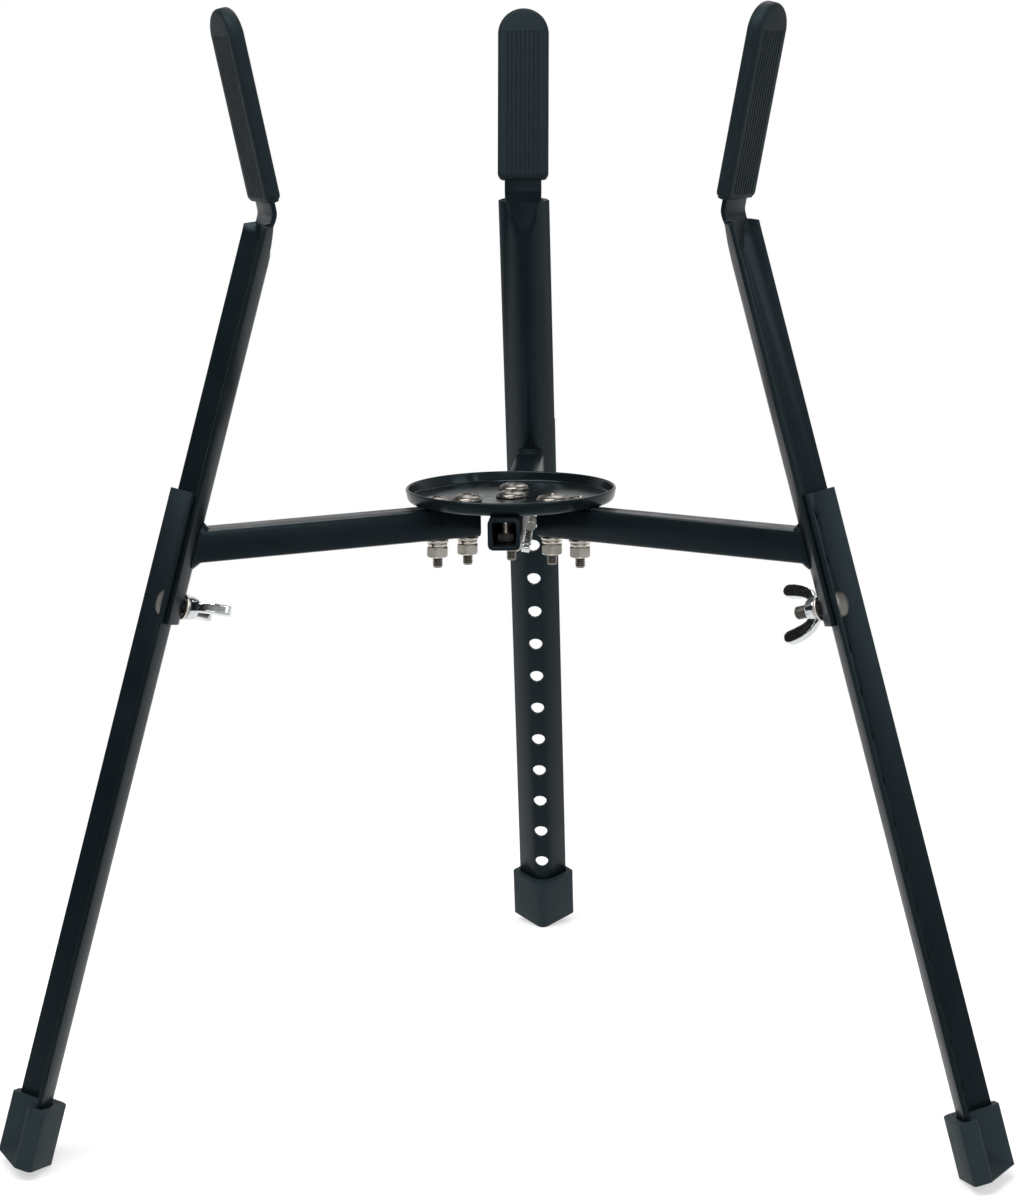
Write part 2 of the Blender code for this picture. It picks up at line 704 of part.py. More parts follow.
def make_dish(hub, spokes):
    low = DISH_UNDERSIDE
    high = low + DISH_HEIGHT
    floor_top = low + DISH_PLATE
    bend = (DISH_FLOOR_RADIUS, floor_top + DISH_BEND)
    inner = DISH_RADIUS - DISH_PLATE
    profile = [(0.0, floor_top - DISH_SINK_DEPTH), (DISH_SINK_RADIUS, floor_top)]
    profile += [(DISH_FLOOR_RADIUS, floor_top)]
    profile += arc(bend, DISH_BEND, -50, -10, 1)
    profile += [(inner, high - DISH_LIP), (inner + DISH_LIP, high)]
    profile += [(DISH_RADIUS - DISH_LIP, high), (DISH_RADIUS, high - DISH_LIP)]
    profile += arc(bend, DISH_BEND + DISH_PLATE, -10, -90, 3)
    profile += [(0.0, low)]
    dish = turned_piece("dish", profile, False, GLOSS_PAINT, hub, steps=DISH_STEPS)
    for side, places in SCREW_PLACES.items():
        for index, reach in enumerate(places):
            hole_name = "dish_hole_" + side + "_" + str(index)
            hole = drill_mesh(hole_name, SCREW_HOLE, 0.0)
            cut(dish, add_cutter(hole_name, hole, spokes[side], (0, reach, 0)))
    return dish


def plus_outline(span, width):
    far = span / 2
    near = width / 2
    quarter = [(near, near), (near, far), (-near, far)]
    points = []
    for turn in range(4):
        angle = turn * math.pi / 2
        for x, y in quarter:
            turned_x = x * math.cos(angle) - y * math.sin(angle)
            turned_y = x * math.sin(angle) + y * math.cos(angle)
            points.append((turned_x, turned_y))
    return points


def make_recess(screw, name, span, width, depth, top):
    recess = outline_mesh(name, plus_outline(span, width), 2 * depth)
    cut(screw, add_cutter(name, recess, screw, (0, 0, top), (0, 0, RECESS_TURN)))


def nut_piece(name, across_flats, bore, low, high, spoke, reach):
    radius = across_flats / 2 / math.cos(math.pi / 6)
    nut = add_piece(name, cylinder_mesh(name, radius, low, high, 6), NICKEL, spoke, (0, reach, 0))
    hole = drill_mesh(name + "_bore", bore)
    cut(nut, add_cutter(name + "_bore", hole, nut, (0, 0, (low + high) / 2)))
    return nut


def make_dish_fasteners(side, spoke):
    seat = DISH_UNDERSIDE + DISH_PLATE + GAP
    for label, reach in zip(("inner", "outer"), SCREW_PLACES[side]):
        tail = side + "_" + label
        spot = (0, reach, 0)
        dome = head_profile(SCREW_HEAD_RADIUS, SCREW_HEAD_HEIGHT, SCREW_HEAD_RIM)
        profile = [(radius, seat + height) for radius, height in dome]
        profile += shank_profile(SCREW_RADIUS, seat, SCREW_TIP, SCREW_CHAMFER)
        screw = turned_piece("dish_screw_" + tail, profile, False, NICKEL, spoke, spot, SMALL_STEPS)
        top = seat + SCREW_HEAD_HEIGHT
        make_recess(screw, "recess_" + tail, RECESS_SPAN, RECESS_WIDTH, RECESS_DEPTH, top)

        high = -TUBE / 2 - GAP
        low = high - FLAT_WASHER_THICKNESS
        flat = ring_profile(SCREW_HOLE, FLAT_WASHER_RADIUS, low, high)
        turned_piece("dish_flat_washer_" + tail, flat, True, NICKEL, spoke, spot, SMALL_STEPS)

        high = low - GAP
        low = high - SPRING_WASHER_THICKNESS
        spring = ring_profile(SCREW_HOLE, SPRING_WASHER_RADIUS, low, high)
        washer = turned_piece("dish_spring_washer_" + tail, spring, True, NICKEL, spoke, spot, SMALL_STEPS)
        half = SPRING_WASHER_SLIT / 2
        slit = box_mesh("slit_" + tail, (-half, 0.0, -DRILL_REACH), (half, DRILL_REACH, DRILL_REACH))
        middle = (0, 0, (low + high) / 2)
        cut(washer, add_cutter("slit_" + tail, slit, washer, middle, (0, SLIT_TILT, SLIT_TURN)))

        high = low - GAP
        low = high - NUT_HEIGHT
        nut_piece("dish_nut_" + tail, NUT_ACROSS_FLATS, SCREW_HOLE, low, high, spoke, reach)


def make_front_screw(dish, strut, spoke):
    floor = -TUBE / 2 + TUBE_WALL
    seat = DISH_UNDERSIDE + DISH_PLATE + GAP
    spot = (0, FRONT_SCREW_PLACE, 0)
    dome = head_profile(FRONT_HEAD_RADIUS, FRONT_HEAD_HEIGHT, FRONT_HEAD_RIM)
    profile = [(radius, seat + height) for radius, height in dome]
    profile += shank_profile(FRONT_SCREW_RADIUS, seat, floor + GAP, SCREW_CHAMFER)
    screw = turned_piece("front_screw", profile, False, NICKEL, spoke, spot, HOLE_STEPS)
    make_recess(screw, "recess_front", FRONT_RECESS_SPAN, FRONT_RECESS_WIDTH, FRONT_RECESS_DEPTH,
                seat + FRONT_HEAD_HEIGHT)
    low = floor + GAP
    high = low + FRONT_NUT_HEIGHT
    nut_piece("front_nut", FRONT_NUT_ACROSS_FLATS, FRONT_SCREW_HOLE, low, high, spoke, FRONT_SCREW_PLACE)
    drill = add_cutter("front_hole", drill_mesh("front_hole", FRONT_SCREW_HOLE, 0.0), spoke, spot)
    cut(dish, drill)
    cut(strut, drill)


def stand_on_floor(axis):
    # Moves the whole stand so that its bounding box stands centred on the origin.
    bpy.context.view_layer.update()
    graph = bpy.context.evaluated_depsgraph_get()
    corners = []
    for piece in PARTS.objects:
        if piece.type == "MESH":
            solid = piece.evaluated_get(graph)
            corners += [solid.matrix_world @ vert.co for vert in solid.data.vertices]
    for index in range(2):
        values = [corner[index] for corner in corners]
        axis.location[index] -= (min(values) + max(values)) / 2
    axis.location.z -= min(corner.z for corner in corners)
    bpy.context.view_layer.update()


def build():
    axis = make_empty("stand_axis", None)
    hub = make_empty("strut_level", axis, (0, 0, STRUT_HEIGHT))
    spokes = {}
    struts = {}
    for side, azimuth in ARM_AZIMUTHS.items():
        heading = math.radians(azimuth - 90)
        spoke = make_empty("spoke_" + side, hub, rotation=(0, 0, heading))
        line = make_empty("leg_line_" + side, spoke, (0, ARM_RADIUS, 0), (ARM_LEAN, 0, 0))
        neck = (0, NECK_LEVEL + STEEL / 2, NECK_HEIGHT)
        tongue = make_empty("tongue_" + side, line, neck, (-NECK_BEND, 0, 0))
        spokes[side] = spoke
        struts[side] = make_strut(side, spoke, REAR_STRUT_START if side == "rear" else SIDE_STRUT_START)
        make_arm(side, line)
        make_pad(side, tongue)
        make_leg(side, line)
        make_foot(side, line)
        make_clamp(side, line)
        make_dish_fasteners(side, spoke)
    dish = make_dish(hub, spokes)
    make_front_screw(dish, struts["rear"], spokes["rear"])
    stand_on_floor(axis)


build()
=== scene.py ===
import json
import math
import bpy
from mathutils import Matrix, Vector


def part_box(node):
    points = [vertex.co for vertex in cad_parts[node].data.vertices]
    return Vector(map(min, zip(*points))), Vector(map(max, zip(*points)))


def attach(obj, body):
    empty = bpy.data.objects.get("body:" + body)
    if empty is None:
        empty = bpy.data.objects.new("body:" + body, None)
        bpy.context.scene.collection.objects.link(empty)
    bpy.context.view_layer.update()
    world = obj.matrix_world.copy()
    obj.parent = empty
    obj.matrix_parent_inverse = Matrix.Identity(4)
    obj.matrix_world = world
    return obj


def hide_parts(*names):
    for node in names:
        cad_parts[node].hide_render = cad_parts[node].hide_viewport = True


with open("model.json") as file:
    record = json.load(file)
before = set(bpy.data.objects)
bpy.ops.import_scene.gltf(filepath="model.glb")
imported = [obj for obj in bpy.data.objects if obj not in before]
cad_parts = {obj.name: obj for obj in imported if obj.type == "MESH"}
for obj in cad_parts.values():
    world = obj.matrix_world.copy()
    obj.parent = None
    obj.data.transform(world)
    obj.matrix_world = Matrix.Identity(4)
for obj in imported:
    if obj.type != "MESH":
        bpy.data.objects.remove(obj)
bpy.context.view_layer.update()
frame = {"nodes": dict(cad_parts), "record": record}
print("frame loaded:", len(frame["nodes"]), "nodes")

mm = 0.001
sides = ("left", "right", "rear")

# where things are: the stand's driving sizes, set out from the dish of the frame

stand = {
    "azimuth": {"left": 210.0, "right": 330.0, "rear": 90.0},
    "armRadius": 207 * mm,       # nose of the arm's steel from the middle, at strut height
    "lean": 16.74,               # degrees, top inwards
    "tube": 20 * mm,
    "dishGap": 0.3 * mm,
    "clampDrop": 40.1 * mm,      # clamp bolt below the strut's middle, along the leg
    "neckRise": 202.5 * mm,      # neck above the strut's middle, along the arm
    "neckDepth": 12.5 * mm,
    "neckBend": 28.7,
}

dishLow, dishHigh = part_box("dish")
middle = Vector(((dishLow.x + dishHigh.x) / 2, (dishLow.y + dishHigh.y) / 2, 0))
strutLevel = dishLow.z - stand["dishGap"] - stand["tube"] / 2


def turnAbout(axis, degrees):
    return Matrix.Rotation(math.radians(degrees), 4, axis)


def moved(x, y, z):
    return Matrix.Translation((x, y, z))


spokeFrame = {}
lineFrame = {}
clampFrame = {}
tongueFrame = {}
for side in sides:
    spoke = moved(middle.x, middle.y, strutLevel) @ turnAbout("Z", stand["azimuth"][side] - 90)
    line = spoke @ moved(0, stand["armRadius"], 0) @ turnAbout("X", stand["lean"])
    spokeFrame[side] = spoke
    lineFrame[side] = line
    clampFrame[side] = line @ moved(0, 0, -stand["clampDrop"]) @ turnAbout("X", 90)
    neck = line @ moved(0, stand["neckDepth"], stand["neckRise"])
    tongueFrame[side] = neck @ turnAbout("X", -stand["neckBend"])

# shader maths

mixSockets = {"share": 0, "low": 6, "high": 7, "result": 2}    # of a Mix node that mixes colours


class Wire:
    # one output socket, so that shader maths reads as sums
    def __init__(self, tree, socket):
        self.tree = tree
        self.socket = socket

    def node(self, kind, inputs=None, output=0, **settings):
        made = self.tree.nodes.new("ShaderNode" + kind)
        for key, value in settings.items():
            setattr(made, key, value)
        for key, value in (inputs or {}).items():
            if isinstance(value, Wire):
                self.tree.links.new(value.socket, made.inputs[key])
            else:
                made.inputs[key].default_value = value
        return Wire(self.tree, made.outputs[output])

    def maths(self, operation, other):
        return self.node("Math", {0: self, 1: other}, operation=operation)

    def __add__(self, other):
        return self.maths("ADD", other)

    def __sub__(self, other):
        return self.maths("SUBTRACT", other)

    def __mul__(self, other):
        return self.maths("MULTIPLY", other)

    def __rsub__(self, other):
        return self.node("Math", {0: other, 1: self}, operation="SUBTRACT")

    __radd__ = __add__
    __rmul__ = __mul__

    def span(self, fromLow, fromHigh, toLow, toHigh):
        ends = {"From Min": fromLow, "From Max": fromHigh, "To Min": toLow, "To Max": toHigh}
        return self.node("MapRange", {"Value": self, **ends})

    def noise(self, scale, detail=2.0, rough=0.5):
        return self.node("TexNoise", {"Vector": self, "Scale": scale, "Detail": detail, "Roughness": rough})

    def stretched(self, x, y, z):
        return self.node("Mapping", {"Vector": self, "Scale": (x, y, z)})

    def along(self, axis):
        return self.node("SeparateXYZ", {0: self}, output=axis)

    def ray(self, kind):
        # 1 for a ray of this kind, and 0 for any other
        return self.node("LightPath", output="Is " + kind + " Ray")

    def mixColors(self, low, high):
        # goes from one colour to another, each of them a value or a wire
        inputs = {mixSockets["share"]: self}
        for end, color in (("low", low), ("high", high)):
            inputs[mixSockets[end]] = color if isinstance(color, Wire) else (*color, 1)
        return self.node("Mix", inputs, output=mixSockets["result"], data_type="RGBA")

    def into(self, target):
        self.tree.links.new(self.socket, target)


def startMaterial(name, constants):
    material = bpy.data.materials.new(name)
    material.use_nodes = True
    tree = material.node_tree
    shader = tree.nodes["Principled BSDF"]
    for key, value in constants.items():
        shader.inputs[key].default_value = value
    place = Wire(tree, tree.nodes.new("ShaderNodeTexCoord").outputs["Object"])
    return material, shader, place


def bumpInto(shader, height, strength, distance):
    bump = height.node("Bump", {"Height": height, "Strength": strength, "Distance": distance})
    bump.into(shader.inputs["Normal"])


noiseRange = (0.3, 0.7)      # the part of a noise's range that is spread over a look's own
noiseCore = (0.35, 0.65)     # and a narrower one, for more contrast
coolGloss = (0.62, 0.88, 1.0, 1.0)    # the black finishes mirror white light a little blue

# in every look, a noise is its scale, detail and roughness, and a bump its strength and height

paintLook = {
    "dark": (0.0026, 0.0044, 0.0058),
    "light": (0.0050, 0.0078, 0.0096),
    "cloud": (46, 3),
    "specular": 0.15,
    "rough": (0.25, 0.38),
    "streak": (160, 2),
    "streakStretch": (1, 1, 0.25),
    "scuff": (0.016, 0.021, 0.023),
    "scratch": (900, 3, 0.6),
    "scratchStretch": (1, 1, 0.08),
    "scratchShown": (0.70, 0.76),
    "rubbed": (24, 4),
    "rubbedShown": (0.54, 0.66),
    "scuffRough": 0.15,
    "peel": (620.0, 2, 0.55),
    "bump": (0.16, 0.12 * mm),
}


def satinPaint():
    look = paintLook
    constants = {"Specular IOR Level": look["specular"], "Specular Tint": coolGloss}
    material, shader, place = startMaterial("satinBlackPaint", constants)
    cloud = place.noise(*look["cloud"])
    color = cloud.mixColors(look["dark"], look["light"])
    scratch = place.stretched(*look["scratchStretch"]).noise(*look["scratch"])
    scratch = scratch.span(*look["scratchShown"], 0.0, 1.0)
    rubbed = place.noise(*look["rubbed"]).span(*look["rubbedShown"], 0.0, 1.0)
    scuffed = scratch * rubbed                    # faint rubbed marks along the steel
    scuffed.mixColors(color, look["scuff"]).into(shader.inputs["Base Color"])
    streak = place.stretched(*look["streakStretch"]).noise(*look["streak"])
    rough = (cloud * 0.5 + streak * 0.5).span(*noiseRange, *look["rough"])
    (rough + scuffed * look["scuffRough"]).into(shader.inputs["Roughness"])
    bumpInto(shader, place.noise(*look["peel"]), *look["bump"])
    return material


dishLook = {
    "dark": (0.0030, 0.0046, 0.0052),
    "light": (0.0058, 0.0080, 0.0088),
    "cloud": (38, 3),
    "specular": 0.22,
    "rough": (0.14, 0.24),
    "roughCloud": (90, 4),
    "peel": (420, 2),
    "bump": (0.07, 0.1 * mm),
}


def glossPaint():
    look = dishLook
    constants = {"Specular IOR Level": look["specular"], "Specular Tint": coolGloss}
    material, shader, place = startMaterial("glossBlackPaint", constants)
    cloud = place.noise(*look["cloud"])
    cloud.mixColors(look["dark"], look["light"]).into(shader.inputs["Base Color"])
    place.noise(*look["roughCloud"]).span(*noiseCore, *look["rough"]).into(shader.inputs["Roughness"])
    bumpInto(shader, place.noise(*look["peel"]), *look["bump"])
    return material


rubberBase = {
    "cloud": (70, 3),
    "grainDetail": (2, 0.6),
    "shares": (0.6, 0.4),        # of the cloud and the grain in the roughness
    "specular": 0.18,
    "rough": (0.50, 0.68),
    "bump": (0.3, 0.08 * mm),
}
rubberLook = {"dark": (0.0085, 0.0140, 0.0162), "light": (0.0130, 0.0200, 0.0225), "grain": 2100.0}
padLook = {"dark": (0.0040, 0.0068, 0.0084), "light": (0.0068, 0.0108, 0.0128), "grain": 2400.0}


def mouldedRubber(name, look):
    base = rubberBase
    constants = {"Specular IOR Level": base["specular"], "Specular Tint": coolGloss}
    material, shader, place = startMaterial(name, constants)
    cloud = place.noise(*base["cloud"])
    cloud.mixColors(look["dark"], look["light"]).into(shader.inputs["Base Color"])
    grain = place.noise(look["grain"], *base["grainDetail"])
    both = cloud * base["shares"][0] + grain * base["shares"][1]
    both.span(*noiseRange, *base["rough"]).into(shader.inputs["Roughness"])
    bumpInto(shader, grain, *base["bump"])
    return material


nickelBase = {
    "cloud": (120, 3),
    "tooling": (520, 2),
    "toolingStretch": (1, 1, 9),
    "shares": (0.4, 0.6),        # of the cloud and the tooling in the roughness
    "bump": (0.10, 0.03 * mm),
}
# nuts, washers and the front screw: nickel made lighter than plain plate, painted light for the lamps it
# mirrors
paintedLightNickelLook = {"dark": (0.70, 0.66, 0.59), "light": (0.88, 0.84, 0.77), "rough": (0.34, 0.48)}
# dish screw heads: the same nickel made darker, painted shade against the pale room their domes mirror
paintedShadeHeadLook = {"dark": (0.15, 0.14, 0.125), "light": (0.24, 0.225, 0.205), "rough": (0.24, 0.34)}
# clamp bolts: the same nickel made darker, painted shade
paintedShadeBoltLook = {"dark": (0.14, 0.135, 0.125), "light": (0.21, 0.205, 0.19), "rough": (0.34, 0.48)}


def nickelPlate(name, look):
    base = nickelBase
    material, shader, place = startMaterial(name, {"Metallic": 1.0})
    cloud = place.noise(*base["cloud"])
    cloud.mixColors(look["dark"], look["light"]).into(shader.inputs["Base Color"])
    tooling = place.stretched(*base["toolingStretch"]).noise(*base["tooling"])
    both = cloud * base["shares"][0] + tooling * base["shares"][1]
    both.span(*noiseRange, *look["rough"]).into(shader.inputs["Roughness"])
    bumpInto(shader, tooling, *base["bump"])
    return material


chromeLook = {
    "dark": (0.58, 0.61, 0.62),
    "light": (0.74, 0.77, 0.78),
    "cloud": (190, 2),
    "rough": (0.05, 0.13),
    "roughCloud": (700, 3),
    "cast": (240, 1),            # the soft unevenness of a casting under its plate
    "bump": (0.30, 0.35 * mm),
}


def brightChrome():
    look = chromeLook
    material, shader, place = startMaterial("brightChrome", {"Metallic": 1.0})
    cloud = place.noise(*look["cloud"])
    cloud.mixColors(look["dark"], look["light"]).into(shader.inputs["Base Color"])
    place.noise(*look["roughCloud"]).span(*noiseCore, *look["rough"]).into(shader.inputs["Roughness"])
    bumpInto(shader, place.noise(*look["cast"]), *look["bump"])
    return material


finishes = {
    "painted_steel": satinPaint(),
    "gloss_dish": glossPaint(),
    "moulded_black": mouldedRubber("footRubber", rubberLook),
    "nickel": nickelPlate("nickelPaintedLight", paintedLightNickelLook),
    "bright_chrome": brightChrome(),
}
ownFinish = {
    # nodes whose names start like this look unlike the rest of their slot: the pads in a darker rubber, the
    # dish screw heads and clamp bolts in nickel darkened as painted shade
    "pad_": mouldedRubber("padRubber", padLook),
    "dish_screw_": nickelPlate("screwNickelPaintedShade", paintedShadeHeadLook),
    "clamp_bolt_": nickelPlate("boltNickelPaintedShade", paintedShadeBoltLook),
}
slotOfNode = {row["node"]: row["material_slot"] for row in frame["record"]["subparts"]}
bodyOfNode = {}
for body, members in frame["record"]["behaviour"]["bodies"].items():
    for member in members:
        bodyOfNode[member] = body


def finishOf(node):
    for start, finish in ownFinish.items():
        if node.startswith(start):
            return finish
    return finishes[slotOfNode[node]]


for node, thing in frame["nodes"].items():
    thing.data.materials.clear()
    thing.data.materials.append(finishOf(node))
print("materials made:", ", ".join(finishes))

# modelling helpers

weldReach = 0.002 * mm       # points nearer than this become one
flatWithin = 0.6             # degrees: faces flatter to each other than this become one


def clearSelection():
    if bpy.context.object and bpy.context.object.mode != "OBJECT":
        bpy.ops.object.mode_set(mode="OBJECT")
    bpy.ops.object.select_all(action="DESELECT")


def pick(thing):
    clearSelection()
    thing.select_set(True)
    bpy.context.view_layer.objects.active = thing


def edit(thing):
    pick(thing)
    bpy.ops.object.mode_set(mode="EDIT")
    bpy.ops.mesh.select_mode(type="VERT")


def leaveEdit():
    bpy.ops.object.mode_set(mode="OBJECT")


def choose(thing, test):
    # selects the points that pass a test
    leaveEdit()
    for edge in thing.data.edges:
        edge.select = False
    for face in thing.data.polygons:
        face.select = False
    for point in thing.data.vertices:
        point.select = test(point.co)
    bpy.ops.object.mode_set(mode="EDIT")


def named(name):
    # the primitive just added, with its place put into its mesh
    thing = bpy.context.object
    thing.name = name
    thing.data.name = name
    bpy.ops.object.transform_apply(location=True, rotation=True, scale=True)
    return thing


def applyModifiers(thing):
    pick(thing)
    for modifier in list(thing.modifiers):
        bpy.ops.object.modifier_apply(modifier=modifier.name)


def smooth(thing, degrees):
    pick(thing)
    bpy.ops.object.shade_smooth_by_angle(angle=math.radians(degrees))


def bevelled(thing, width, segments, degrees):
    bevel = thing.modifiers.new("edges", "BEVEL")
    bevel.width = width
    bevel.segments = segments
    bevel.limit_method = "ANGLE"
    bevel.angle_limit = math.radians(degrees)


def combine(thing, other, operation):
    boolean = thing.modifiers.new(operation.lower(), "BOOLEAN")
    boolean.operation = operation
    boolean.solver = "EXACT"
    boolean.object = other
    applyModifiers(thing)
    bpy.data.objects.remove(other, do_unlink=True)


def settle(piece, nodes, place=None):
    # puts a finished piece in its place in its mesh and lets it stand for its nodes
    if place is not None:
        piece.data.transform(place)
    piece.data.materials.clear()
    piece.data.materials.append(finishOf(nodes[0]))
    for face in piece.data.polygons:
        face.material_index = 0
    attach(piece, bodyOfNode[nodes[0]])
    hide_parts(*nodes)


def copyOf(piece, name):
    other = piece.copy()
    other.data = piece.data.copy()
    other.name = name
    other.data.name = name
    bpy.context.scene.collection.objects.link(other)
    return other


def turned(name, profile, steps):
    # spins a profile of (radius, height) points about Z
    clearSelection()
    # the smallest circle, merged to one point, is drawn out along the profile
    bpy.ops.mesh.primitive_circle_add(vertices=3, radius=1 * mm, location=(0, 0, 0))
    thing = bpy.context.object
    thing.name = name
    edit(thing)
    bpy.ops.mesh.select_all(action="SELECT")
    bpy.ops.mesh.merge(type="CENTER")
    first = Vector((profile[0][0], 0, profile[0][1]))
    bpy.ops.transform.translate(value=first)
    for (fromRadius, fromHeight), (toRadius, toHeight) in zip(profile, profile[1:]):
        step = (toRadius - fromRadius, 0, toHeight - fromHeight)
        bpy.ops.mesh.extrude_region_move(TRANSFORM_OT_translate={"value": step})
    bpy.ops.mesh.select_all(action="SELECT")
    bpy.ops.mesh.spin(steps=steps, angle=math.tau, center=(0, 0, 0), axis=(0, 0, 1))
    bpy.ops.mesh.select_all(action="SELECT")
    bpy.ops.mesh.remove_doubles(threshold=weldReach)
    bpy.ops.mesh.normals_make_consistent(inside=False)
    leaveEdit()
    return thing


def spread(model, rows):
    # one copy of a model for each CAD node, then the model goes
    for node, place in rows:
        settle(copyOf(model, model.name + "_" + node), [node], place)
    bpy.data.objects.remove(model, do_unlink=True)


def block(name, low, high):
    clearSelection()
    center = [(a + b) / 2 for a, b in zip(low, high)]
    span = [b - a for a, b in zip(low, high)]
    bpy.ops.mesh.primitive_cube_add(size=1, location=center, scale=span)
    return named(name)


def arc(center, radius, start, end, steps):
    points = []
    for step in range(steps + 1):
        angle = math.radians(start + (end - start) * step / steps)
        points.append((center[0] + radius * math.cos(angle), center[1] + radius * math.sin(angle)))
    return points


def mergedCopy(node, name):
    # a copy of a CAD node, its doubled points merged and its flat faces joined
    source = frame["nodes"][node]
    thing = bpy.data.objects.new(name, source.data.copy())
    bpy.context.scene.collection.objects.link(thing)
    edit(thing)
    bpy.ops.mesh.select_all(action="SELECT")
    bpy.ops.mesh.remove_doubles(threshold=weldReach)
    bpy.ops.mesh.dissolve_limited(angle_limit=math.radians(flatWithin))
    leaveEdit()
    return thing


# camera

cameraPlace = {
    "distance": 1.78801,   # from the stand's axis, level
    "height": 0.299317,    # above the struts
    "around": 3.78,        # degrees round from straight in front
    "pitch": 11.2,
    "pan": -0.02,
    "roll": -0.63,
    "focal": 2839.55,      # in pixels of the 1022 x 1200 image
    "imageHeight": 1200,
    "sensor": 36.0,
    "clip": (0.05, 60),
}


def makeCamera():
    clearSelection()
    around = math.radians(cameraPlace["around"])
    spot = middle + Vector((math.sin(around), -math.cos(around), 0)) * cameraPlace["distance"]
    bpy.ops.object.camera_add(location=(spot.x, spot.y, strutLevel + cameraPlace["height"]))
    camera = bpy.context.object
    aim = turnAbout("Z", cameraPlace["around"] - cameraPlace["pan"])
    aim = aim @ turnAbout("X", 90 - cameraPlace["pitch"]) @ turnAbout("Z", cameraPlace["roll"])
    camera.rotation_euler = aim.to_euler()
    camera.data.sensor_fit = "VERTICAL"
    camera.data.sensor_height = cameraPlace["sensor"]
    camera.data.lens = cameraPlace["focal"] / cameraPlace["imageHeight"] * cameraPlace["sensor"]
    camera.data.clip_start, camera.data.clip_end = cameraPlace["clip"]
    bpy.context.scene.camera = camera


makeCamera()
print("camera set")

# studio: pale floor, soft lamps, white background

studio = {
    "floorSize": 9.0,
    "floorColor": (0.93, 0.93, 0.93),
    "floorWhite": (0.50, 1.0),      # how white the eye sees the floor, near the stand and far off
    "floorFade": (0.35, 1.00),
    "ambient": 0.42,
    "floorDrop": 0.2 * mm,
    "floorRough": 0.9,
    "floorGloss": 0.9,              # how much of the white floor gloss sees
    "floorDusk": (-0.90, -0.20),    # where that floor darkens, from the front inwards
    "roomPale": 0.85,               # what gloss sees all round
    "frontDark": 0.03,              # and to the left of the front
    "darkWay": (-0.78, -0.62),      # the way to that dark part, in x and y
    "darkSpan": (0.42, 0.74),       # how squarely a ray must look that way to see pale, and dark
    "overhead": 0.16,               # the share of it overhead
    "overheadSpan": (0.10, 0.60),
    "lampTarget": 0.36,             # height that the lamps face
    "lamps": [
        # name, azimuth, elevation, distance, size, watts
        ("keyLamp", 222.0, 48.0, 2.6, 1.3, 46.0),
        ("fillLamp", 330.0, 30.0, 2.8, 1.6, 26.0),
        ("topLamp", 265.0, 68.0, 2.4, 1.2, 40.0),
        ("backLamp", 80.0, 50.0, 2.8, 1.6, 26.0),
        ("frontLamp", 270.0, 2.0, 2.6, 1.3, 7.0),
    ],
}


def makeFloor():
    clearSelection()
    bpy.ops.mesh.primitive_plane_add(size=studio["floorSize"], location=(0, 0, -studio["floorDrop"]))
    floor = bpy.context.object
    floor.name = "studioFloor"
    material = bpy.data.materials.new("paleFloor")
    material.use_nodes = True
    tree = material.node_tree
    shader = tree.nodes["Principled BSDF"]
    shader.inputs["Base Color"].default_value = (*studio["floorColor"], 1)
    shader.inputs["Roughness"].default_value = studio["floorRough"]
    shader.inputs["Specular IOR Level"].default_value = 0.0
    white = tree.nodes.new("ShaderNodeEmission")
    place = Wire(tree, tree.nodes.new("ShaderNodeTexCoord").outputs["Object"])
    away = place.node("VectorMath", {0: place}, output=1, operation="LENGTH")
    share = away.span(*studio["floorFade"], *studio["floorWhite"])
    dusk = place.along("Y").span(*studio["floorDusk"], 1 - studio["frontDark"], 0.0)
    glossy = place.ray("Glossy")
    seen = place.ray("Camera").maths("MAXIMUM", place.ray("Transmission"))
    # gloss sees a floor that darkens to the front
    (1 - glossy * dusk).into(white.inputs["Strength"])
    mix = tree.nodes.new("ShaderNodeMixShader")
    (seen * share).maths("MAXIMUM", glossy * studio["floorGloss"]).into(mix.inputs[0])
    tree.links.new(shader.outputs[0], mix.inputs[1])
    tree.links.new(white.outputs[0], mix.inputs[2])
    tree.links.new(mix.outputs[0], tree.nodes["Material Output"].inputs["Surface"])
    floor.data.materials.append(material)


def makeWorld():
    world = bpy.data.worlds.new("studioWorld")
    bpy.context.scene.world = world
    world.use_nodes = True
    tree = world.node_tree
    tree.nodes.clear()
    towards = Wire(tree, tree.nodes.new("ShaderNodeTexCoord").outputs["Generated"])
    # gloss sees a pale room that is dark to the left of the front, and dimmer overhead
    wayX, wayY = studio["darkWay"]
    leftFront = towards.along("X") * wayX + towards.along("Y") * wayY
    room = leftFront.span(*studio["darkSpan"], studio["roomPale"], studio["frontDark"])
    above = towards.along("Z").span(*studio["overheadSpan"], 1.0, studio["overhead"])
    room = room * above
    glossy = towards.ray("Glossy")
    seen = towards.ray("Camera").maths("MAXIMUM", towards.ray("Transmission"))
    strength = (glossy * (room - studio["ambient"]) + studio["ambient"]).maths("MAXIMUM", seen)
    background = tree.nodes.new("ShaderNodeBackground")
    background.inputs["Color"].default_value = (1, 1, 1, 1)
    strength.into(background.inputs["Strength"])
    output = tree.nodes.new("ShaderNodeOutputWorld")
    tree.links.new(background.outputs[0], output.inputs["Surface"])


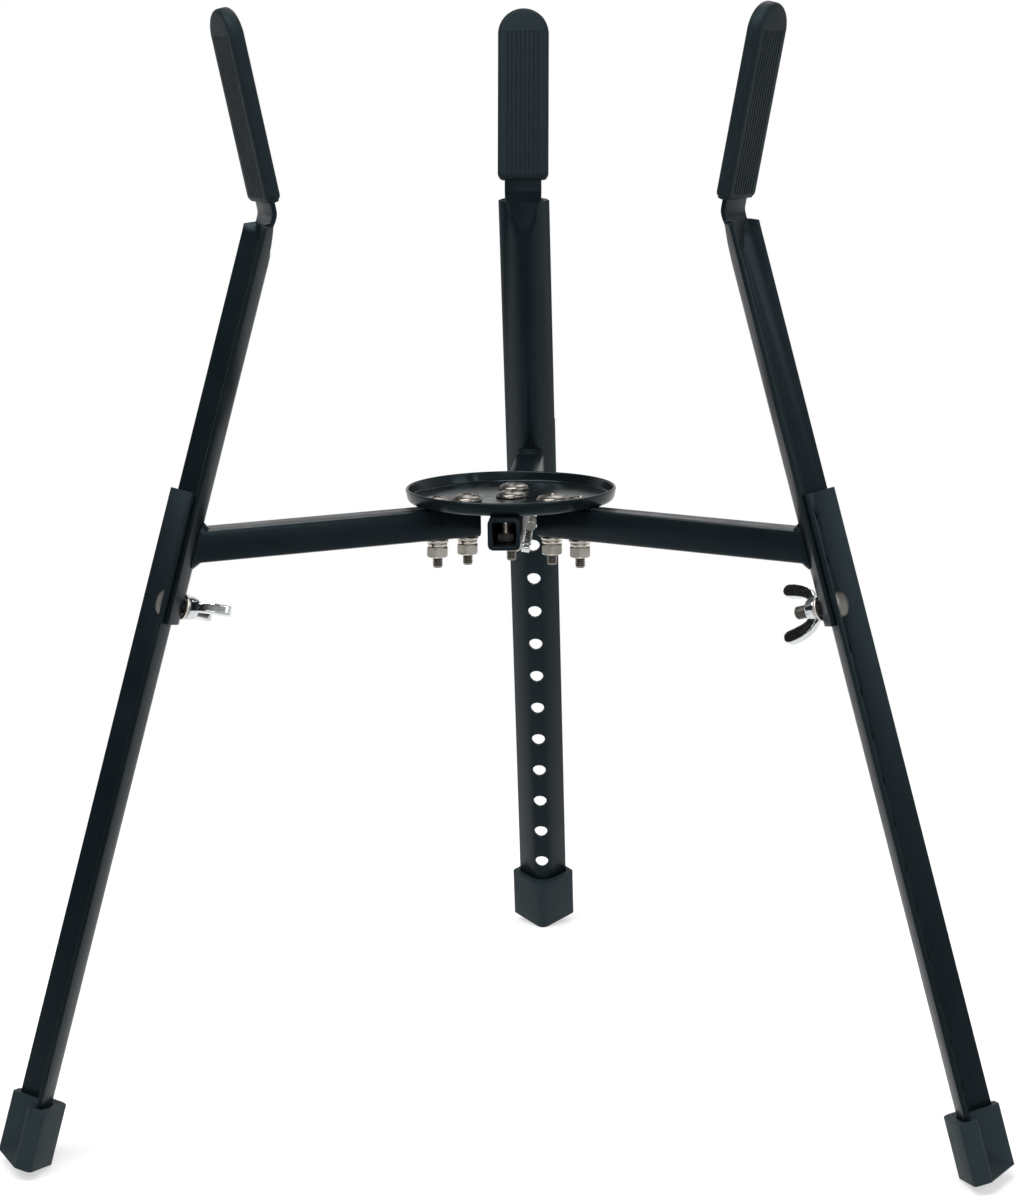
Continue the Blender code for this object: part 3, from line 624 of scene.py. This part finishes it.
def makeLamps():
    target = middle + Vector((0, 0, studio["lampTarget"]))
    for name, azimuth, elevation, distance, size, watts in studio["lamps"]:
        clearSelection()
        turn = math.radians(azimuth)
        rise = math.radians(elevation)
        flat = math.cos(rise)
        way = Vector((math.cos(turn) * flat, math.sin(turn) * flat, math.sin(rise)))
        bpy.ops.object.light_add(type="AREA", location=target + way * distance)
        lamp = bpy.context.object
        lamp.name = name
        lamp.data.energy = watts
        lamp.data.size = size
        lamp.rotation_euler = way.to_track_quat("Z", "Y").to_euler()


makeFloor()
makeWorld()
makeLamps()
bpy.context.scene.view_settings.view_transform = "Standard"
print("studio set")

# steelwork, feet and wing nuts: softened copies of the CAD pieces

softEdges = {
    # width, segments, from this angle up, and whether short edges hold the width down,
    # which on the arms would leave next to none of it
    "arm": (0.5 * mm, 3, 40, False),
    "leg": (0.45 * mm, 2, 40, True),
    "strut": (0.35 * mm, 2, 40, True),
    "foot": (0.9 * mm, 3, 40, True),
}
castNut = {"grid": 0.42 * mm, "pull": 0.5, "rounds": 24}
softShade = 32               # degrees: edges blunter than this are shaded smooth


def softCopy(node, name, width, segments, degrees, clamped):
    # a copy of a CAD node with its sharp edges softened
    thing = mergedCopy(node, name)
    bevelled(thing, width, segments, degrees)
    thing.modifiers["edges"].use_clamp_overlap = clamped
    applyModifiers(thing)
    smooth(thing, softShade)
    return thing


def castCopy(node, name):
    # a copy of a CAD node with every edge rounded over, as a die-cast piece has them
    thing = mergedCopy(node, name)
    skin = thing.modifiers.new("skin", "REMESH")
    skin.mode = "VOXEL"
    skin.voxel_size = castNut["grid"]
    soften = thing.modifiers.new("soften", "SMOOTH")
    soften.factor = castNut["pull"]
    soften.iterations = castNut["rounds"]
    applyModifiers(thing)
    smooth(thing, softShade)
    return thing


for side in sides:
    for kind, edges in softEdges.items():
        settle(softCopy(kind + "_" + side, kind + "Soft_" + side, *edges), [kind + "_" + side])
    settle(castCopy("wing_nut_" + side, "wingNutCast_" + side), ["wing_nut_" + side])
print("steelwork, feet and wing nuts made")

# dish

dishShape = {
    "radius": 67.0 * mm,
    "floorRadius": 62.4 * mm,
    "underside": 10.3 * mm,    # over the struts' middle
    "plate": 2.0 * mm,
    "bend": 1.8 * mm,
    "wallStart": -10,          # degrees: how far round the bend the wall begins
    "height": 8.7 * mm,
    "innerSteps": 6,
    "outerSteps": 8,
    "roundSteps": 144,
    "shade": 30,
}


def makeDish():
    shape = dishShape
    low = shape["underside"]
    floorTop = low + shape["plate"]
    lip = shape["plate"] / 2
    lipHeight = low + shape["height"] - lip
    bend = (shape["floorRadius"], floorTop + shape["bend"])
    halfway = shape["floorRadius"] * 0.5
    profile = [(0, floorTop), (halfway, floorTop)]
    profile += arc(bend, shape["bend"], -90, shape["wallStart"], shape["innerSteps"])
    profile += arc((shape["radius"] - lip, lipHeight), lip, 180, 0, shape["outerSteps"])
    profile += arc(bend, shape["bend"] + shape["plate"], shape["wallStart"], -90, shape["outerSteps"])
    profile += [(halfway, low), (0, low)]
    dish = turned("dishPlate", profile, shape["roundSteps"])
    smooth(dish, shape["shade"])
    settle(dish, ["dish"], moved(middle.x, middle.y, strutLevel))


makeDish()
print("dish made")

# screws, washers and nuts of the dish

screwShape = {
    "seat": 12.6 * mm,
    "headRadius": 9.75 * mm,
    "headHeight": 4.2 * mm,
    "rim": 0.8 * mm,
    "recess": (11.0 * mm, 2.5 * mm, 2.6 * mm),   # span, width, depth
    "radius": 3.175 * mm,
    "plainEnd": -2 * mm,
    "threadFrom": -3 * mm,
    "pitch": 1.27 * mm,
    "threadDepth": 0.42 * mm,
    "tip": -28.5 * mm,
    "point": (0.7 * mm, 0.8 * mm),               # how far in, over what height
    # inner and outer screw of each strut, from the dish's middle
    "places": {"left": (31 * mm, 52 * mm), "right": (31 * mm, 52 * mm), "rear": (0, 31 * mm)},
    "turn": 20,
    "roundSteps": 64,
}
threadParts = ((0.0, 0), (0.2, 0), (0.6, 1), (0.7, 1))    # share of a turn, share of the depth
domeSteps = 10
crossTaper = (0.5, 0.7, 1)
screwShade = 28


def threadRows(radius, depth, pitch, start, end):
    # crests and roots of a screw thread, drawn as rings
    count = int(abs(end - start) / pitch)
    step = math.copysign(pitch, end - start)
    rows = []
    for turn in range(count):
        for part, sunk in threadParts:
            rows.append((radius - depth * sunk, start + step * (turn + part)))
    rows.append((radius, start + step * count))
    return rows


def domeRows(radius, height, rim, soft=0.25 * mm):
    # a low round head from its middle to its seat, heights over the seat
    rows = []
    for step in range(domeSteps + 1):
        part = math.sin(math.radians(90 * step / domeSteps))
        rise = math.sqrt(max(1 - part ** 2, 0))
        rows.append(((radius - soft) * part, rim + (height - rim) * rise))
    rows += [(radius, rim - soft), (radius, soft / 2), (radius - soft / 2, 0)]
    return rows


def cutCross(thing, span, width, depth, top):
    # a tapered cross recess, one bar at a time
    for turn in (0, 90):
        bar = block("recessBar", (-span / 2, -width / 2, top - depth), (span / 2, width / 2, top + depth))
        edit(bar)
        choose(bar, lambda point: point.z < top)
        bpy.ops.transform.resize(value=crossTaper, center_override=(0, 0, top))
        leaveEdit()
        bar.data.transform(turnAbout("Z", turn))
        combine(thing, bar, "DIFFERENCE")


def crossScrew(name, shape, seat):
    # a round-headed screw, head up, from its crown down to its point
    radius = shape["radius"]
    inset, taper = shape["point"]
    head = domeRows(shape["headRadius"], shape["headHeight"], shape["rim"])
    profile = [(around, seat + height) for around, height in head]
    profile += [(radius, seat), (radius, shape["plainEnd"])]
    threadEnd = shape["tip"] + taper
    profile += threadRows(radius, shape["threadDepth"], shape["pitch"], shape["threadFrom"], threadEnd)
    profile += [(radius - inset, shape["tip"]), (0, shape["tip"])]
    screw = turned(name, profile, shape["roundSteps"])
    cutCross(screw, *shape["recess"], seat + shape["headHeight"])
    smooth(screw, screwShade)
    return screw


def placeRows(kind):
    # a dish screw's place under each name of a kind of node
    rows = []
    for side in sides:
        for label, reach in zip(("inner", "outer"), screwShape["places"][side]):
            rows.append((kind + "_" + side + "_" + label, spokeFrame[side] @ moved(0, reach, 0)))
    return rows


def makeScrews():
    screw = crossScrew("dishScrew", screwShape, screwShape["seat"])
    turn = turnAbout("Z", screwShape["turn"])
    spread(screw, [(node, place @ turn) for node, place in placeRows("dish_screw")])


stackShape = {
    "flat": (3.5 * mm, 7.0 * mm, -12.1 * mm, -10.3 * mm),      # bore, radius, low, high
    "spring": (3.5 * mm, 6.2 * mm, -14.8 * mm, -12.4 * mm),
    "springSoft": 0.3 * mm,
    "slit": 1.1 * mm,
    "slitReach": 12 * mm,
    "slitTurn": 35,
    "slitLean": 25,
    "nut": (12.5 * mm, 3.35 * mm, -21.7 * mm, -15.1 * mm),     # across flats, bore, low, high
    "frontNut": (10.0 * mm, 2.65 * mm, -7.2 * mm, -2.2 * mm),
    "chamfer": 0.09,           # shares of the nut's size across flats, its half and its corners
    "faceShare": 0.97,
    "cornerShare": 1.02,
    "sink": 0.6 * mm,          # of the hole's two mouths
}
ringSteps = 56
ringShade = 50
nutSteps = {"chamfer": 72, "hole": 48}
nutShade = 25


def ring(name, bore, radius, low, high, soft=0.2 * mm):
    profile = [(bore, low + soft), (bore, high - soft), (bore + soft, high), (radius - soft, high)]
    profile += [(radius, high - soft), (radius, low + soft), (radius - soft, low), (bore + soft, low)]
    return turned(name, profile + profile[:1], ringSteps)


def hexNut(name, across, bore, low, high):
    clearSelection()
    corner = across / 2 / math.cos(math.radians(30))
    center = (0, 0, (low + high) / 2)
    bpy.ops.mesh.primitive_cylinder_add(vertices=6, radius=corner, depth=high - low, location=center)
    nut = named(name)
    chamfer = stackShape["chamfer"] * across
    flat = across / 2 * stackShape["faceShare"]
    wide = corner * stackShape["cornerShare"]
    outside = [(0, high), (flat, high), (wide, high - chamfer), (wide, low + chamfer), (flat, low), (0, low)]
    combine(nut, turned("nutChamfer", outside, nutSteps["chamfer"]), "INTERSECT")
    sink = stackShape["sink"]
    hole = [(0, high + sink), (bore + 2 * sink, high + sink), (bore, high - sink), (bore, low + sink),
            (bore + 2 * sink, low - sink), (0, low - sink)]
    combine(nut, turned("nutHole", hole, nutSteps["hole"]), "DIFFERENCE")
    smooth(nut, nutShade)
    return nut


def makeStacks():
    shape = stackShape
    flat = ring("flatWasher", *shape["flat"])
    smooth(flat, ringShade)
    spread(flat, placeRows("dish_flat_washer"))
    bore, radius, low, high = shape["spring"]
    spring = ring("springWasher", bore, radius, low, high, shape["springSoft"])
    half = shape["slit"] / 2
    reach = shape["slitReach"]
    slit = block("slit", (-half, 0, -reach), (half, reach, reach))
    turn = turnAbout("Z", shape["slitTurn"]) @ turnAbout("Y", shape["slitLean"])
    slit.data.transform(moved(0, 0, (low + high) / 2) @ turn)
    combine(spring, slit, "DIFFERENCE")
    smooth(spring, ringShade)
    spread(spring, placeRows("dish_spring_washer"))
    spread(hexNut("dishNut", *shape["nut"]), placeRows("dish_nut"))


makeScrews()
makeStacks()
print("dish screws, washers and nuts made")

# small front screw and its nut

frontShape = {
    "place": -50 * mm,
    "headRadius": 5.2 * mm,
    "headHeight": 3.0 * mm,
    "rim": 0.6 * mm,
    "recess": (4.8 * mm, 1.2 * mm, 1.6 * mm),
    "radius": 2.5 * mm,
    "plainEnd": 4 * mm,
    "threadFrom": 3.5 * mm,
    "pitch": 0.8 * mm,
    "threadDepth": 0.3 * mm,
    "tip": -7.2 * mm,
    "point": (0.6 * mm, 0.7 * mm),
    "turn": 20,
    "roundSteps": 48,
}


def makeFrontScrew():
    screw = crossScrew("frontScrewModel", frontShape, screwShape["seat"])
    place = spokeFrame["rear"] @ moved(0, frontShape["place"], 0)
    spread(screw, [("front_screw", place @ turnAbout("Z", frontShape["turn"]))])
    spread(hexNut("frontNutModel", *stackShape["frontNut"]), [("front_nut", place)])


makeFrontScrew()
print("front screw made")

# clamp bolts and their washers

boltShape = {
    "seat": -17.3 * mm,
    "headRadius": 8.0 * mm,
    "headHeight": 3.4 * mm,
    "rim": 0.8 * mm,
    "radius": 4.0 * mm,
    "tip": 13.0 * mm,
    "pitch": 1.25 * mm,
    "threadDepth": 0.55 * mm,
    "threadFrom": -8.0 * mm,
    "point": (0.8 * mm, 0.9 * mm),
    "roundSteps": 64,
    "washer": (4.4 * mm, 8.0 * mm, -4.57 * mm, -3.07 * mm),
}


def makeClamps():
    shape = boltShape
    radius = shape["radius"]
    inset, taper = shape["point"]
    threadStart = shape["tip"] - taper
    profile = [(0, shape["tip"]), (radius - inset, shape["tip"])]
    profile += threadRows(radius, shape["threadDepth"], shape["pitch"], threadStart, shape["threadFrom"])
    profile += [(radius, shape["seat"])]
    dome = domeRows(shape["headRadius"], shape["headHeight"], shape["rim"])
    head = [(around, shape["seat"] - height) for around, height in dome]
    bolt = turned("clampBolt", profile + head[::-1], shape["roundSteps"])
    smooth(bolt, screwShade)
    spread(bolt, [("clamp_bolt_" + side, clampFrame[side]) for side in sides])
    washer = ring("clampWasher", *shape["washer"])
    smooth(washer, ringShade)
    spread(washer, [("clamp_washer_" + side, clampFrame[side]) for side in sides])


makeClamps()
print("clamp bolts made")

# pads: rubber sleeves with fine grooves down both faces

padShape = {
    "width": 34.5 * mm,
    "length": 116.85 * mm,
    "bottom": 6.75 * mm,
    "thick": 9.5 * mm,
    "corner": 4.5 * mm,
    "cornerSteps": 7,
    "edge": (2.8 * mm, 5, 60),                    # width, segments, from this angle up
    "slot": (12.8 * mm, 1.8 * mm, 110.3 * mm),    # half width, half thickness, depth
    "slotStart": -10 * mm,
    "grooves": 8,
    "pitch": 2.95 * mm,
    "grooveRadius": 0.68 * mm,
    "grooveLift": 0.05 * mm,                      # of a groove's middle over the face
    "grooveEnds": (4 * mm, 16 * mm),
    "roundSteps": 96,
    "grooveSteps": 12,
    "shade": 30,
}
padReach = {"below": 0.01 * mm, "side": 0.4 * mm, "bottom": 0.1 * mm}    # how near counts as on an edge


def padBlank():
    # a round-topped block: a disc with its lower half drawn down, cut level, and rounded
    shape = padShape
    half = shape["width"] / 2
    low = shape["bottom"]
    top = low + shape["length"] - half
    clearSelection()
    bpy.ops.mesh.primitive_cylinder_add(vertices=shape["roundSteps"], radius=half, depth=shape["thick"],
                                        location=(0, top, 0))
    pad = named("pad")
    edit(pad)
    choose(pad, lambda point: point.y < top - padReach["below"])
    bpy.ops.transform.translate(value=(0, low - top, 0))
    bpy.ops.mesh.select_all(action="SELECT")
    bpy.ops.mesh.bisect(plane_co=(0, low, 0), plane_no=(0, 1, 0), use_fill=True, clear_inner=True)
    choose(pad, lambda point: abs(point.x) > half - padReach["side"] and point.y < low + padReach["bottom"])
    bpy.ops.mesh.bevel(offset=shape["corner"], segments=shape["cornerSteps"], affect="EDGES")
    leaveEdit()
    bevelled(pad, *shape["edge"])
    applyModifiers(pad)
    return pad


def grooveRow():
    # the row of round bars that cuts the grooves of one face
    shape = padShape
    low = shape["bottom"] + shape["grooveEnds"][0]
    high = shape["bottom"] + shape["length"] - shape["grooveEnds"][1]
    across = -(shape["grooves"] - 1) / 2 * shape["pitch"]
    center = (across, (low + high) / 2, shape["thick"] / 2 + shape["grooveLift"])
    clearSelection()
    bpy.ops.mesh.primitive_cylinder_add(vertices=shape["grooveSteps"], radius=shape["grooveRadius"],
                                        depth=high - low, location=center,
                                        rotation=(math.radians(90), 0, 0))
    groove = named("padGroove")
    row = groove.modifiers.new("row", "ARRAY")
    row.count = shape["grooves"]
    row.use_relative_offset = False
    row.use_constant_offset = True
    row.constant_offset_displace = (shape["pitch"], 0, 0)
    applyModifiers(groove)
    return groove


def makePads():
    shape = padShape
    pad = padBlank()
    wide, deep, far = shape["slot"]
    combine(pad, block("padSlot", (-wide, shape["slotStart"], -deep), (wide, far, deep)), "DIFFERENCE")
    front = grooveRow()
    back = copyOf(front, "padGrooveBack")
    back.data.transform(moved(0, 0, -shape["thick"] - 2 * shape["grooveLift"]))
    combine(pad, front, "DIFFERENCE")
    combine(pad, back, "DIFFERENCE")
    smooth(pad, shape["shade"])
    spread(pad, [("pad_" + side, tongueFrame[side] @ turnAbout("X", 90)) for side in sides])


makePads()
print("pads made")
